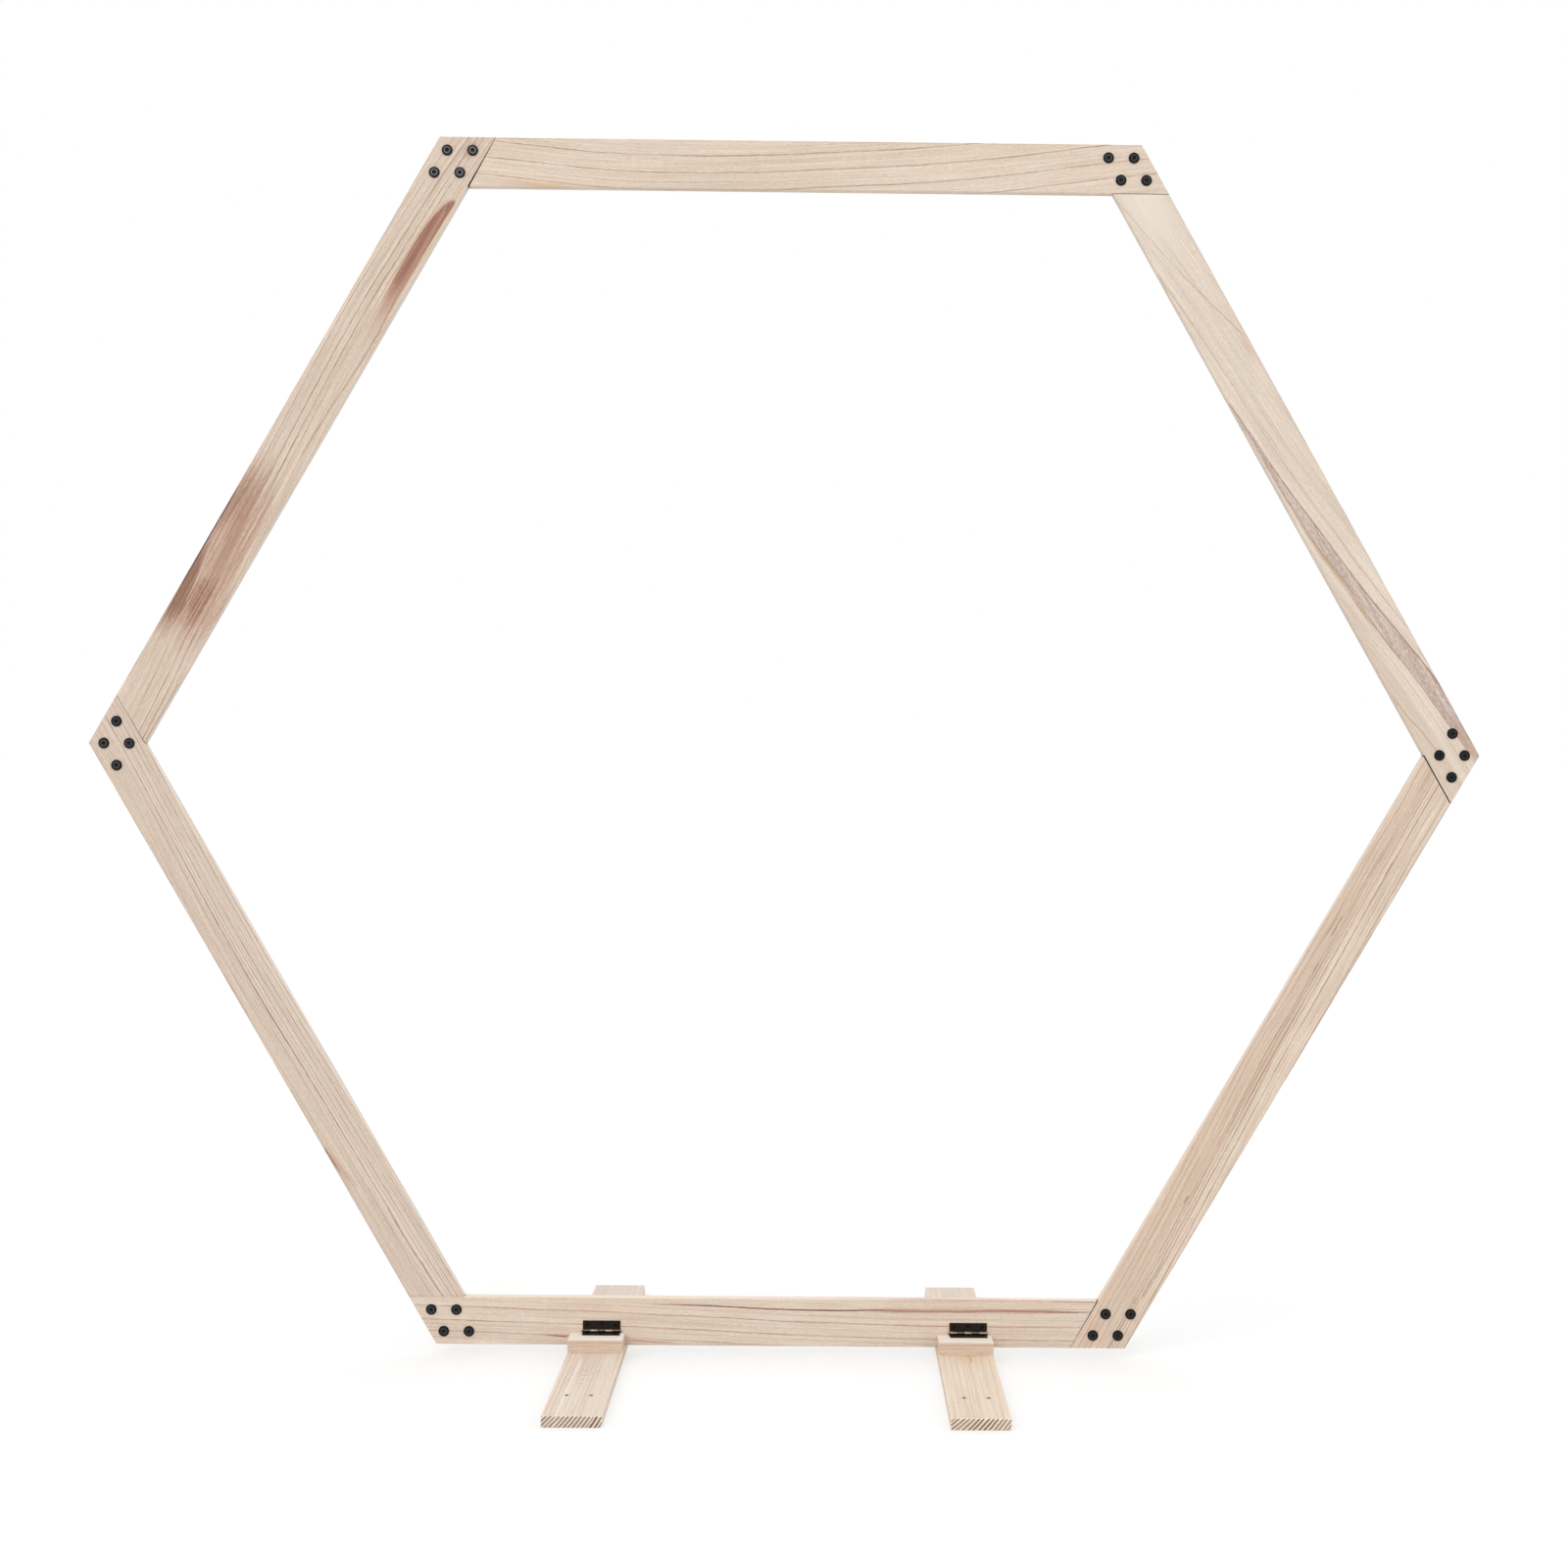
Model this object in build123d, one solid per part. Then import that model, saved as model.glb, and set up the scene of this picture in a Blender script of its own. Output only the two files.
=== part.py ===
from build123d import *
import os
from math import cos, radians, tan

# Free-standing hexagon wedding arch. Six boards are half-lapped and bolted at their
# corners, and the bottom board stands on two flat feet that fold up on butt hinges.
# Millimetres. +X is right and +Y is back as the arch is seen from its front, +Z is up.
# The origin is on the floor, under the middle of the bottom board's thickness.

# Hexagon of boards
side_length = 1100.0  # outer edge of one board, from corner to corner
board_width = 76.0
board_thickness = 18.0
board_edge_break = 0.8  # chamfer along a board's long edges
back_shoulder_gap = 0.6  # between a lapped end and the shoulder behind it
# Gap at each front shoulder, at the hexagon's inner edge and at its outer edge
front_shoulder_gaps = {
    "top_right": (0.8, 0.8),
    "right": (2.2, 1.8),
    "bottom_right": (1.8, 0.5),
    "bottom_left": (0.4, 0.4),
    "left": (0.9, 0.4),
    "top_left": (2.6, 0.5),
}

# Connector bolts, four to a corner, and the cap nuts behind them
bolt_pitch = 40.0  # side of the rhombus of four bolts
bolt_head_diameter = 17.0
bolt_head_thickness = 2.4
bolt_head_bevel = 1.1
bolt_shank_diameter = 6.0
bolt_length = 15.0
socket_width = 5.0  # across the flats of the hexagon socket
socket_depth = 1.5
bolt_hole_clearance = 0.3
nut_sleeve_diameter = 8.8
nut_sleeve_length = 8.4
nut_hole_clearance = 0.1
thread_clearance = 0.05

# Feet, one under each side of the bottom board
foot_length = 800.0
foot_width = 87.0
foot_thickness = 17.0
foot_spacing = 585.0  # between the two feet's centre lines
foot_edge_break = 0.8
peg_hole_diameter = 5.0
peg_hole_spacing = 36.0
peg_hole_inset = 105.0  # from the foot's end

# Hinge block on each foot, in front of the bottom board
block_depth = 48.0
block_height = 20.0
block_gap = 0.3  # between the block and the board that it stops against
block_edge_break = 0.6

# Butt hinges, one to a foot
hinge_length = 60.0
hinge_offset = 6.0  # of the hinge's middle from the foot's centre line
knuckle_count = 5
knuckle_gap = 0.3
leaf_width = 16.6  # from the pin's axis to the leaf's free edge
leaf_thickness = 1.2
leaf_corner_radius = 1.2
pin_diameter = 3.0
pin_running_gap = 0.05  # all round between the pin and its knuckles
pin_head_diameter = 4.4
pin_head_length = 0.9

# Screws of the hinge leaves, three to a leaf
screw_spacing = 22.5
screw_line = 9.6  # from the pin's axis to the two outer screws
screw_stagger = 2.5  # how much further out the middle screw stands
screw_head_diameter = 6.0
screw_shank_diameter = 3.0
screw_length = 13.0
screw_clearance = 0.05
cross_length = 3.2
cross_width = 0.7
cross_depth = 0.6

corner_turn = 60.0
apothem = side_length * cos(radians(30))
hexagon_height = foot_thickness + apothem
# How far a line at 60 degrees to a board runs sideways while it crosses the board
slant_run = board_width * tan(radians(30))
barrel_radius = pin_diameter / 2 + pin_running_gap + leaf_thickness
pin_y = -board_thickness / 2 - barrel_radius
pin_z = foot_thickness + block_height + barrel_radius

# Boards and corners clockwise from the top, and the corner at each board's far end
board_names = ["top", "upper_right", "lower_right", "bottom", "lower_left", "upper_left"]
corner_names = ["top_right", "right", "bottom_right", "bottom_left", "left", "top_left"]
# The leaf of each hinge that has the odd-numbered knuckles, its two end ones among them
end_knuckle_leaf = {"left": "frame", "right": "foot"}


def turned(shape, steps):
    """Turn a shape clockwise, seen from the front, about the hexagon's centre line."""
    return Rot(0, corner_turn * steps, 0) * shape


def raised(shape):
    """Move a shape from the hexagon's own centre to its height above the floor."""
    return Pos(0, 0, hexagon_height) * shape


def front_plane(x, y, z):
    """A plane at a point of the frame that faces forwards, with its own Y upwards."""
    return Plane(origin=(x, y, z), x_dir=(1, 0, 0), z_dir=(0, -1, 0))


def bolt_centres():
    """The four bolts of the top right corner, along the directions of its two boards."""
    middle = Vector(side_length / 2 - slant_run / 2, 0, apothem - board_width / 2)
    along = Vector(bolt_pitch, 0, 0)
    across = along.rotate(Axis.Y, corner_turn)
    return [middle + (along * i + across * j) * 0.5 for i in (-1, 1) for j in (-1, 1)]


def bores(diameter):
    """Bores through both boards at the top right corner."""
    depth = 2 * board_thickness
    return [
        front_plane(p.X, 0, p.Z) * Cylinder(diameter / 2, depth) for p in bolt_centres()
    ]


def shoulder_cut(end, inner_gap, outer_gap, depth):
    """Waste beyond a shoulder that follows the crossing board's inner edge.

    end is 1 at the board's clockwise end and -1 at the other. depth is how far the
    cut goes from the board's middle plane, positive towards the front.
    """
    overrun = board_width
    slant = cos(radians(30))
    outer = end * (side_length / 2 - 2 * slant_run - outer_gap / slant)
    inner = end * (side_length / 2 - slant_run - inner_gap / slant)
    step = (inner - outer) * overrun / board_width
    far = end * (side_length / 2 + 2 * board_width)
    outline = Polyline(
        (outer - step, apothem + overrun),
        (inner + step, apothem - board_width - overrun),
        (far, apothem - board_width - overrun),
        (far, apothem + overrun),
        close=True,
    )
    return extrude(Plane.XZ * make_face(outline), amount=depth)


def board(first_corner):
    """The top board, lapped in front at its right end and behind at its left end.

    Its ends follow the outer edges of the boards that it crosses, so that each end
    closes a corner of the hexagon. first_corner names the corner at its left end.
    """
    outline = Polyline(
        (-side_length / 2, apothem),
        (side_length / 2, apothem),
        (side_length / 2 + slant_run, apothem - board_width),
        (-side_length / 2 - slant_run, apothem - board_width),
        close=True,
    )
    blank = extrude(
        Plane.XZ * make_face(outline), amount=board_thickness / 2, both=True
    )
    blank = chamfer(blank.edges().filter_by(Axis.X), board_edge_break)
    blank -= shoulder_cut(-1, *front_shoulder_gaps[first_corner], board_thickness)
    blank -= shoulder_cut(1, back_shoulder_gap, back_shoulder_gap, -board_thickness)
    blank -= bores(bolt_shank_diameter + 2 * bolt_hole_clearance)
    blank -= [
        turned(bore, -1) for bore in bores(nut_sleeve_diameter + 2 * nut_hole_clearance)
    ]
    return blank


def bevelled_head():
    """A flat round head with a bevelled rim and a hexagon socket, standing on Z = 0."""
    head = Pos(0, 0, bolt_head_thickness / 2) * Cylinder(
        bolt_head_diameter / 2, bolt_head_thickness
    )
    head = chamfer(head.edges().group_by(Axis.Z)[-1], bolt_head_bevel)
    socket = RegularPolygon(socket_width / 2, 6, major_radius=False)
    return head - extrude(Pos(0, 0, bolt_head_thickness) * socket, amount=-socket_depth)


def bolt():
    """A connector bolt with its head standing on Z = 0 and its shank below."""
    shank = Pos(0, 0, -bolt_length / 2) * Cylinder(bolt_shank_diameter / 2, bolt_length)
    return bevelled_head() + shank


def cap_nut():
    """A cap nut with its head standing on Z = 0 and its threaded sleeve below."""
    sleeve = Pos(0, 0, -nut_sleeve_length / 2) * Cylinder(
        nut_sleeve_diameter / 2, nut_sleeve_length
    )
    thread = Pos(0, 0, -nut_sleeve_length / 2) * Cylinder(
        bolt_shank_diameter / 2 + thread_clearance, nut_sleeve_length
    )
    return bevelled_head() + sleeve - thread


def corner_bolts(steps):
    """The four bolts of one corner, their heads on the front face."""
    places = [front_plane(p.X, -board_thickness / 2, p.Z) for p in bolt_centres()]
    return [raised(turned(place * bolt(), steps)) for place in places]


def corner_nuts(steps):
    """The four cap nuts of one corner, their heads on the back face."""
    places = [
        Plane(origin=(p.X, board_thickness / 2, p.Z), x_dir=(-1, 0, 0), z_dir=(0, 1, 0))
        for p in bolt_centres()
    ]
    return [raised(turned(place * cap_nut(), steps)) for place in places]


def screw_places():
    """Screws of a hinge leaf, as places along the pin and out from it."""
    return [
        (-screw_spacing, screw_line),
        (0.0, screw_line + screw_stagger),
        (screw_spacing, screw_line),
    ]


def screw_body(growth):
    """A countersunk screw with its head's face on Z = 0, larger all round by growth."""
    head_radius = screw_head_diameter / 2 + growth
    shank_radius = screw_shank_diameter / 2 + growth
    head_depth = (screw_head_diameter - screw_shank_diameter) / 2
    head = Pos(0, 0, -head_depth / 2) * Cone(shank_radius, head_radius, head_depth)
    shank = Pos(0, 0, -screw_length / 2) * Cylinder(shank_radius, screw_length + growth)
    return head + shank.intersect(
        Pos(0, 0, -screw_length) * Box(board_width, board_width, 2 * screw_length)
    )


def screw():
    """A countersunk screw with a cross recess."""
    arm = Box(cross_length, cross_width, 2 * cross_depth)
    return screw_body(0) - arm - Rot(0, 0, 90) * arm


def on_leaf(shape):
    """Copies of a shape at a leaf's screw places, its Z out of the leaf's open face."""
    face = barrel_radius - leaf_thickness
    return [front_plane(x, face, out) * shape for x, out in screw_places()]


def leaf(knuckles):
    """A hinge leaf about the X axis, standing up with its mounting face at the back.

    It is one strip rolled round the pin, so that its mounting face is tangent to the
    barrel. knuckles are the numbers of its own knuckles, counted along +X.
    """
    pitch = hinge_length / knuckle_count
    notch = barrel_radius + knuckle_gap
    strip_middle = barrel_radius - leaf_thickness / 2
    plate = Pos(0, strip_middle, (notch + leaf_width) / 2) * Box(
        hinge_length, leaf_thickness, leaf_width - notch
    )
    plate = fillet(
        plate.edges().filter_by(Axis.Y).group_by(Axis.Z)[-1], leaf_corner_radius
    )
    rolled = Circle(barrel_radius) + Pos(strip_middle, notch / 2) * Rectangle(
        leaf_thickness, notch
    )
    rolled -= Circle(pin_diameter / 2 + pin_running_gap)
    for number in knuckles:
        middle = (number + 0.5) * pitch - hinge_length / 2
        knuckle = extrude(
            Plane.YZ * rolled, amount=(pitch - knuckle_gap) / 2, both=True
        )
        plate += Pos(middle, 0, 0) * knuckle
    return plate - on_leaf(screw_body(screw_clearance))


def frame_side(shape, x):
    """Put a hinge shape on the bottom board's front face."""
    return Pos(x, pin_y, pin_z) * shape


def foot_side(shape, x):
    """Put a hinge shape on a block's top, at a right angle to the frame's leaf."""
    return Pos(x, pin_y, pin_z) * Rot(90, 0, 0) * Rot(0, 0, 180) * shape


def hinge_pin():
    """A hinge pin along X, riveted over at both ends."""
    head_middle = (hinge_length + pin_head_length) / 2
    pin = Cylinder(pin_diameter / 2, hinge_length)
    for end in (-1, 1):
        pin += Pos(0, 0, end * head_middle) * Cylinder(pin_head_diameter / 2, pin_head_length)
    return Rot(0, 90, 0) * pin


def foot_board(x):
    """A flat foot with a pair of peg holes near each end."""
    slab = Pos(x, 0, foot_thickness / 2) * Box(foot_width, foot_length, foot_thickness)
    slab = chamfer(slab.edges(), foot_edge_break)
    peg_y = foot_length / 2 - peg_hole_inset
    for side in (-1, 1):
        for end in (-1, 1):
            place = Pos(x + side * peg_hole_spacing / 2, end * peg_y, foot_thickness / 2)
            slab -= place * Cylinder(peg_hole_diameter / 2, 2 * foot_thickness)
    return slab


def foot_block(x):
    """The block that carries the hinge and stops against the bottom board."""
    y = -board_thickness / 2 - block_gap - block_depth / 2
    z = foot_thickness + block_height / 2
    block = Pos(x, y, z) * Box(foot_width, block_depth, block_height)
    return chamfer(block.edges(), block_edge_break)


def save(name, shapes):
    """Write one node from the separate solids that it holds."""
    solids = [solid for shape in shapes for solid in shape.solids()]
    whole = solids[0] if len(solids) == 1 else Compound(solids)
    export_step(whole, f"parts/{name}.step")


def main():
    os.makedirs("parts", exist_ok=True)
    boards = {}
    for steps, name in enumerate(board_names):
        first_corner = corner_names[steps - 1]
        boards[name] = raised(turned(board(first_corner), steps))
    for steps, name in enumerate(corner_names):
        save(f"bolts_{name}", corner_bolts(steps))
        save(f"cap_nuts_{name}", corner_nuts(steps))

    screws = on_leaf(screw())
    pilot_holes = on_leaf(screw_body(screw_clearance))
    end_knuckles = range(0, knuckle_count, 2)
    inner_knuckles = range(1, knuckle_count, 2)
    for side, sign in (("left", -1), ("right", 1)):
        x = sign * foot_spacing / 2
        hinge_x = x + hinge_offset
        frame_has_ends = end_knuckle_leaf[side] == "frame"
        frame_leaf = leaf(end_knuckles if frame_has_ends else inner_knuckles)
        foot_leaf = leaf(inner_knuckles if frame_has_ends else end_knuckles)
        boards["bottom"] -= [frame_side(hole, hinge_x) for hole in pilot_holes]
        block = foot_block(x) - [foot_side(hole, hinge_x) for hole in pilot_holes]
        save(f"foot_board_{side}", [foot_board(x)])
        save(f"foot_block_{side}", [block])
        save(f"hinge_frame_leaf_{side}", [frame_side(frame_leaf, hinge_x)])
        save(f"hinge_foot_leaf_{side}", [foot_side(foot_leaf, hinge_x)])
        save(f"hinge_pin_{side}", [frame_side(hinge_pin(), hinge_x)])
        save(f"hinge_frame_screws_{side}", [frame_side(s, hinge_x) for s in screws])
        save(f"hinge_foot_screws_{side}", [foot_side(s, hinge_x) for s in screws])

    for name, shape in boards.items():
        save(f"board_{name}", [shape])


main()
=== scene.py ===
from math import cos, hypot, pi, radians, sin, sqrt

import bpy
import numpy as np
from mathutils import Matrix, Vector


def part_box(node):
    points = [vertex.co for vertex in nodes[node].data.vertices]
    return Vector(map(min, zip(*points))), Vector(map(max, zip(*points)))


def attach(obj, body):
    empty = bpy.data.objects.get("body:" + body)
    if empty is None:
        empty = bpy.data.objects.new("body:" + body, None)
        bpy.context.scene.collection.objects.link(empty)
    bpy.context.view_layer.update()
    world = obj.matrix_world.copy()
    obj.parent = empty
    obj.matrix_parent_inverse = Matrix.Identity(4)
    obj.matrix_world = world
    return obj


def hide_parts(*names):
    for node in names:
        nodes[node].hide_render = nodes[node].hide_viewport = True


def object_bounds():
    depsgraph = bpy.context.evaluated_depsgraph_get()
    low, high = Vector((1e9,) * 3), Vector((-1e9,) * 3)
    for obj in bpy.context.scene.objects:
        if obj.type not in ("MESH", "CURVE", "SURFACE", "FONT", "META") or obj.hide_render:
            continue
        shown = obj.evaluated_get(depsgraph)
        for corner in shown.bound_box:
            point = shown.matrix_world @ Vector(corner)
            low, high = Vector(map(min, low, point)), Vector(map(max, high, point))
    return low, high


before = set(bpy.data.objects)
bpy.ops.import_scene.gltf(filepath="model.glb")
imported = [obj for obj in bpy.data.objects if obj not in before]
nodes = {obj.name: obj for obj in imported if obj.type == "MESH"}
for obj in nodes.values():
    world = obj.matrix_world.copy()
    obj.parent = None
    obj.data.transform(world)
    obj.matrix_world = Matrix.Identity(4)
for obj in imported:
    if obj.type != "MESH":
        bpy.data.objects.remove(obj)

cad_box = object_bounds()

# Sizes of the arch in millimetres, read from the frame where a node gives them
MM = 0.001
side = (cad_box[1].x - cad_box[0].x) / 2 / MM
apothem = side * cos(radians(30))
board_low, board_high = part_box("board_bottom")
board_thickness = (board_high.y - board_low.y) / MM
board_width = (board_high.z - board_low.z) / MM
hexagon_height = board_low.z / MM + apothem
slant_run = board_width * sqrt(1 / 3)
foot_low, foot_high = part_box("foot_board_left")
foot_thickness = (foot_high.z - foot_low.z) / MM
block_low, block_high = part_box("foot_block_left")
block_depth = (block_high.y - block_low.y) / MM
boards = ["top", "upper_right", "lower_right", "bottom", "lower_left", "upper_left"]
corners = ["top_right", "right", "bottom_right", "bottom_left", "left", "top_left"]

# The hinges' barrels, in metres: their radius, and the depth and height of their pins
barrel_radius = 0.00275
pin_line = (board_low.y - barrel_radius, block_high.z + barrel_radius)


def paint(red, green, blue):
    """A colour as seen on a screen, 0 to 255, as the linear values that a shader takes.

    Each share s of full brightness becomes ((s + 0.055) / 1.055)^2.4, or s / 12.92 where it
    is nearly black.
    """
    share = np.array([red, green, blue]) / 255
    return (*np.where(share <= 0.04045, share / 12.92, ((share + 0.055) / 1.055) ** 2.4), 1.0)


def coat(node, finish):
    """Give a CAD node one material in place of its own."""
    nodes[node].data.materials.clear()
    nodes[node].data.materials.append(finish)


# Signals inside a material
class Signal:
    """A value that a material works out at each point, combined by the signs of arithmetic."""

    def __init__(self, tree, socket):
        self.tree = tree
        self.socket = socket

    def __add__(self, other):
        return work_out(self.tree, "ADD", self, other)

    def __sub__(self, other):
        return work_out(self.tree, "SUBTRACT", self, other)

    def __rsub__(self, other):
        return work_out(self.tree, "SUBTRACT", other, self)

    def __mul__(self, other):
        return work_out(self.tree, "MULTIPLY", self, other)

    def __truediv__(self, other):
        return work_out(self.tree, "DIVIDE", self, other)

    def __pow__(self, other):
        return work_out(self.tree, "POWER", self, other)

    def __abs__(self):
        return work_out(self.tree, "ABSOLUTE", self)

    __radd__ = __add__
    __rmul__ = __mul__


def feed(tree, socket, value):
    """Link a signal to a socket, or set the socket to a plain value."""
    if isinstance(value, Signal):
        tree.links.new(value.socket, socket)
    else:
        socket.default_value = value


def work_out(tree, operation, *values):
    """The result of one operation of arithmetic on signals or plain values."""
    node = tree.nodes.new("ShaderNodeMath")
    node.operation = operation
    for socket, value in zip(node.inputs, values):
        feed(tree, socket, value)
    return Signal(tree, node.outputs[0])


def larger(a, b):
    """The larger of two values at each point."""
    return work_out(a.tree, "MAXIMUM", a, b)


def distance(a, b):
    """The square root of a^2 + b^2."""
    return work_out(a.tree, "SQRT", a * a + b * b)


def bell(squared):
    """e^-squared, a hump of height 1 where squared is 0."""
    return work_out(squared.tree, "EXPONENT", squared * -1)


def rise(signal, low, high):
    """0 below low, 1 above high, with a smooth step between them. low may be the larger."""
    if low > high:
        return 1 - rise(signal, high, low)
    node = signal.tree.nodes.new("ShaderNodeMapRange")
    node.interpolation_type = "SMOOTHSTEP"
    feed(signal.tree, node.inputs["Value"], signal)
    node.inputs["From Min"].default_value = low
    node.inputs["From Max"].default_value = high
    return Signal(signal.tree, node.outputs["Result"])


def split(vector):
    """The three parts x, y and z of a vector."""
    node = vector.tree.nodes.new("ShaderNodeSeparateXYZ")
    feed(vector.tree, node.inputs[0], vector)
    return [Signal(vector.tree, socket) for socket in node.outputs]


def joined(tree, x, y, z):
    """The vector that has the parts x, y and z."""
    node = tree.nodes.new("ShaderNodeCombineXYZ")
    for socket, value in zip(node.inputs, (x, y, z)):
        feed(tree, socket, value)
    return Signal(tree, node.outputs[0])


def cloud(vector, lengths, seed, detail=2.0, roughness=0.5):
    """Noise from 0 to 1 whose blotches are about as long as lengths along x, y and z."""
    tree = vector.tree
    stretch = tree.nodes.new("ShaderNodeVectorMath")
    stretch.operation = "MULTIPLY_ADD"
    feed(tree, stretch.inputs[0], vector)
    stretch.inputs[1].default_value = [1 / length for length in lengths]
    stretch.inputs[2].default_value = (seed * 3.7, seed * 5.3, seed * 7.9)
    node = tree.nodes.new("ShaderNodeTexNoise")
    tree.links.new(stretch.outputs[0], node.inputs["Vector"])
    node.inputs["Scale"].default_value = 1.0
    node.inputs["Detail"].default_value = detail
    node.inputs["Roughness"].default_value = roughness
    return Signal(tree, node.outputs[0])


def waver(signal, length, seed):
    """Noise from 0 to 1 along one value, with about one swell to each length."""
    node = signal.tree.nodes.new("ShaderNodeTexNoise")
    node.noise_dimensions = "1D"
    feed(signal.tree, node.inputs["W"], signal / length + seed * 9.1)
    node.inputs["Scale"].default_value = 1.0
    node.inputs["Detail"].default_value = 1.0
    return Signal(signal.tree, node.outputs[0])


def lot(signal, seed):
    """A steady random number from 0 to 1 for each whole value of the signal."""
    node = signal.tree.nodes.new("ShaderNodeTexWhiteNoise")
    node.noise_dimensions = "1D"
    feed(signal.tree, node.inputs["W"], work_out(signal.tree, "FLOOR", signal) + seed * 13.7)
    return Signal(signal.tree, node.outputs["Value"])


def mixed(share, first, second):
    """Colour that goes from the first to the second as share goes from 0 to 1."""
    tree = share.tree
    node = tree.nodes.new("ShaderNodeMix")
    node.data_type = "RGBA"
    for number, value in ((0, share), (6, first), (7, second)):
        feed(tree, node.inputs[number], value)
    return Signal(tree, node.outputs[2])


def shaded(colour, share, amount):
    """The colour made darker by share times amount, or lighter if amount is negative."""
    tree = colour.tree
    node = tree.nodes.new("ShaderNodeVectorMath")
    node.operation = "SCALE"
    feed(tree, node.inputs[0], colour)
    feed(tree, node.inputs["Scale"], 1 - share * amount)
    return Signal(tree, node.outputs[0])


def blank_material(name):
    """A new material whose surface is one plain shader."""
    material = bpy.data.materials.new(name)
    material.use_nodes = True
    tree = material.node_tree
    tree.nodes.clear()
    output = tree.nodes.new("ShaderNodeOutputMaterial")
    shader = tree.nodes.new("ShaderNodeBsdfPrincipled")
    tree.links.new(shader.outputs[0], output.inputs["Surface"])
    return material, tree, shader


def roughened(tree, shader, height, depth):
    """Give the shader a bump from a height of 0 to 1 that stands for depth in metres."""
    bump = tree.nodes.new("ShaderNodeBump")
    bump.inputs["Strength"].default_value = 1.0
    bump.inputs["Distance"].default_value = depth
    feed(tree, bump.inputs["Height"], height)
    tree.links.new(bump.outputs[0], shader.inputs["Normal"])


# Wood
# What a plank has where the table of its grain doesn't say otherwise
usual_grain = dict(
    uneven=0.9,  # how far the fine rings stray from even distances, in rings
    early=0.15,  # tint of the wood on a drawn ring's inner side
    thick=1.5,  # where a drawn ring has faded out, in millimetres from its middle
    bright=0.035,  # how much lighter the wood close to a drawn ring is
    blotches=0.5,  # share of the flush colour in its blotches
    fibres=0.19,  # contrast of the fibres
    flecks=0.3,  # contrast of the flecks
    end_lines=0.5,  # strength of the rings on the end grain
    end_light=0.0,  # how much lighter the end grain is between its rings
    # painted highlight: the broken edges are made lighter by this share
    arris_highlight=0.08,  # how much lighter the broken edges are
    eyes=(),
    figures=(),
    stains=(),
    holes=(),
)
# What a streak of heartwood has where its own call doesn't say otherwise
usual_stain = dict(
    ragged=3.0,  # how far its sides stray, in millimetres
    tongue=60,  # length of the tongues along its sides
    fray=60,  # how far its ends stray
    streaked=0.25,  # contrast of the fine streaks in it
    bands=0.0,  # share that bands of pale wood take away
    flecked=0.5,  # contrast of the flecks in it
)


def streak(ends, colour, strength, **own):
    """A streak of heartwood in one colour, as strong as given from 0 to 1.

    It lies between a lower and an upper curve, or keeps within half its width of a middle
    one. Its ends are where it starts and stops and the two lengths that it fades over.
    """
    return usual_stain | own | dict(ends=ends, colour=colour, strength=strength)


# A curve's node runs from 0 to 1 both ways, which stands for these millimetres
curve_length, curve_height = 1200, 400


def plank_place(tree, turn, origin):
    """Object coordinates in millimetres, turned so that x runs along a plank's grain.

    The shares of the face's normal along, across and through the plank come with them.
    """
    coordinates = tree.nodes.new("ShaderNodeTexCoord")
    mapping = tree.nodes.new("ShaderNodeMapping")
    mapping.inputs["Scale"].default_value = (1 / MM,) * 3
    mapping.inputs["Rotation"].default_value = turn.to_euler()
    mapping.inputs["Location"].default_value = -(turn @ Vector(origin))
    tree.links.new(coordinates.outputs["Object"], mapping.inputs["Vector"])
    facing = tree.nodes.new("ShaderNodeMapping")
    facing.inputs["Rotation"].default_value = turn.to_euler()
    tree.links.new(coordinates.outputs["Normal"], facing.inputs["Vector"])
    return Signal(tree, mapping.outputs[0]), [abs(part) for part in split(Signal(tree, facing.outputs[0]))]


def path(along, points):
    """The height of a smooth curve through points of (along, height), both in millimetres."""
    node = along.tree.nodes.new("ShaderNodeFloatCurve")
    curve = node.mapping.curves[0]
    while len(curve.points) < len(points):
        curve.points.new(0, 0)
    for spot, (u, v) in zip(curve.points, sorted(points)):
        spot.location = (u / curve_length + 0.5, v / curve_height + 0.5)
    node.mapping.update()
    feed(along.tree, node.inputs["Value"], along / curve_length + 0.5)
    return (Signal(along.tree, node.outputs[0]) - 0.5) * curve_height


def stain_share(place, stain, seed):
    """0 to 1 over one streak, with soft and ragged sides and perhaps bands of pale wood."""
    along, across, through = split(place)
    drift = cloud(place, (stain["tongue"], 5, 9), seed, 3.0, 0.65) - 0.5
    height = across + through * 0.12 + drift * stain["ragged"]
    soft = stain["soft"]
    if "middle" in stain:
        off = abs(height - path(along, stain["middle"]))
        share = rise(off, stain["half"] + soft, stain["half"] * 0.3)
    else:
        share = rise(height - path(along, stain["lower"]), -soft, soft)
        share = share * rise(path(along, stain["upper"]) - height, -soft, soft)
    first, last, fade_in, fade_out = stain["ends"]
    streaks = rise(cloud(place, (260, 2.6, 9), seed + 0.7, 2.0), 0.36, 0.64) - 0.5
    share = share * (1 + streaks * stain["streaked"])
    spot = along + drift * stain["fray"]
    share = share * rise(spot, first, first + fade_in) * rise(spot, last, last - fade_out)
    bands = rise(cloud(place, (300, 4.0, 9), seed + 0.5, 1.0), 0.42, 0.58)
    return share * (1 - bands * stain["bands"]) * stain["strength"]


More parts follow.
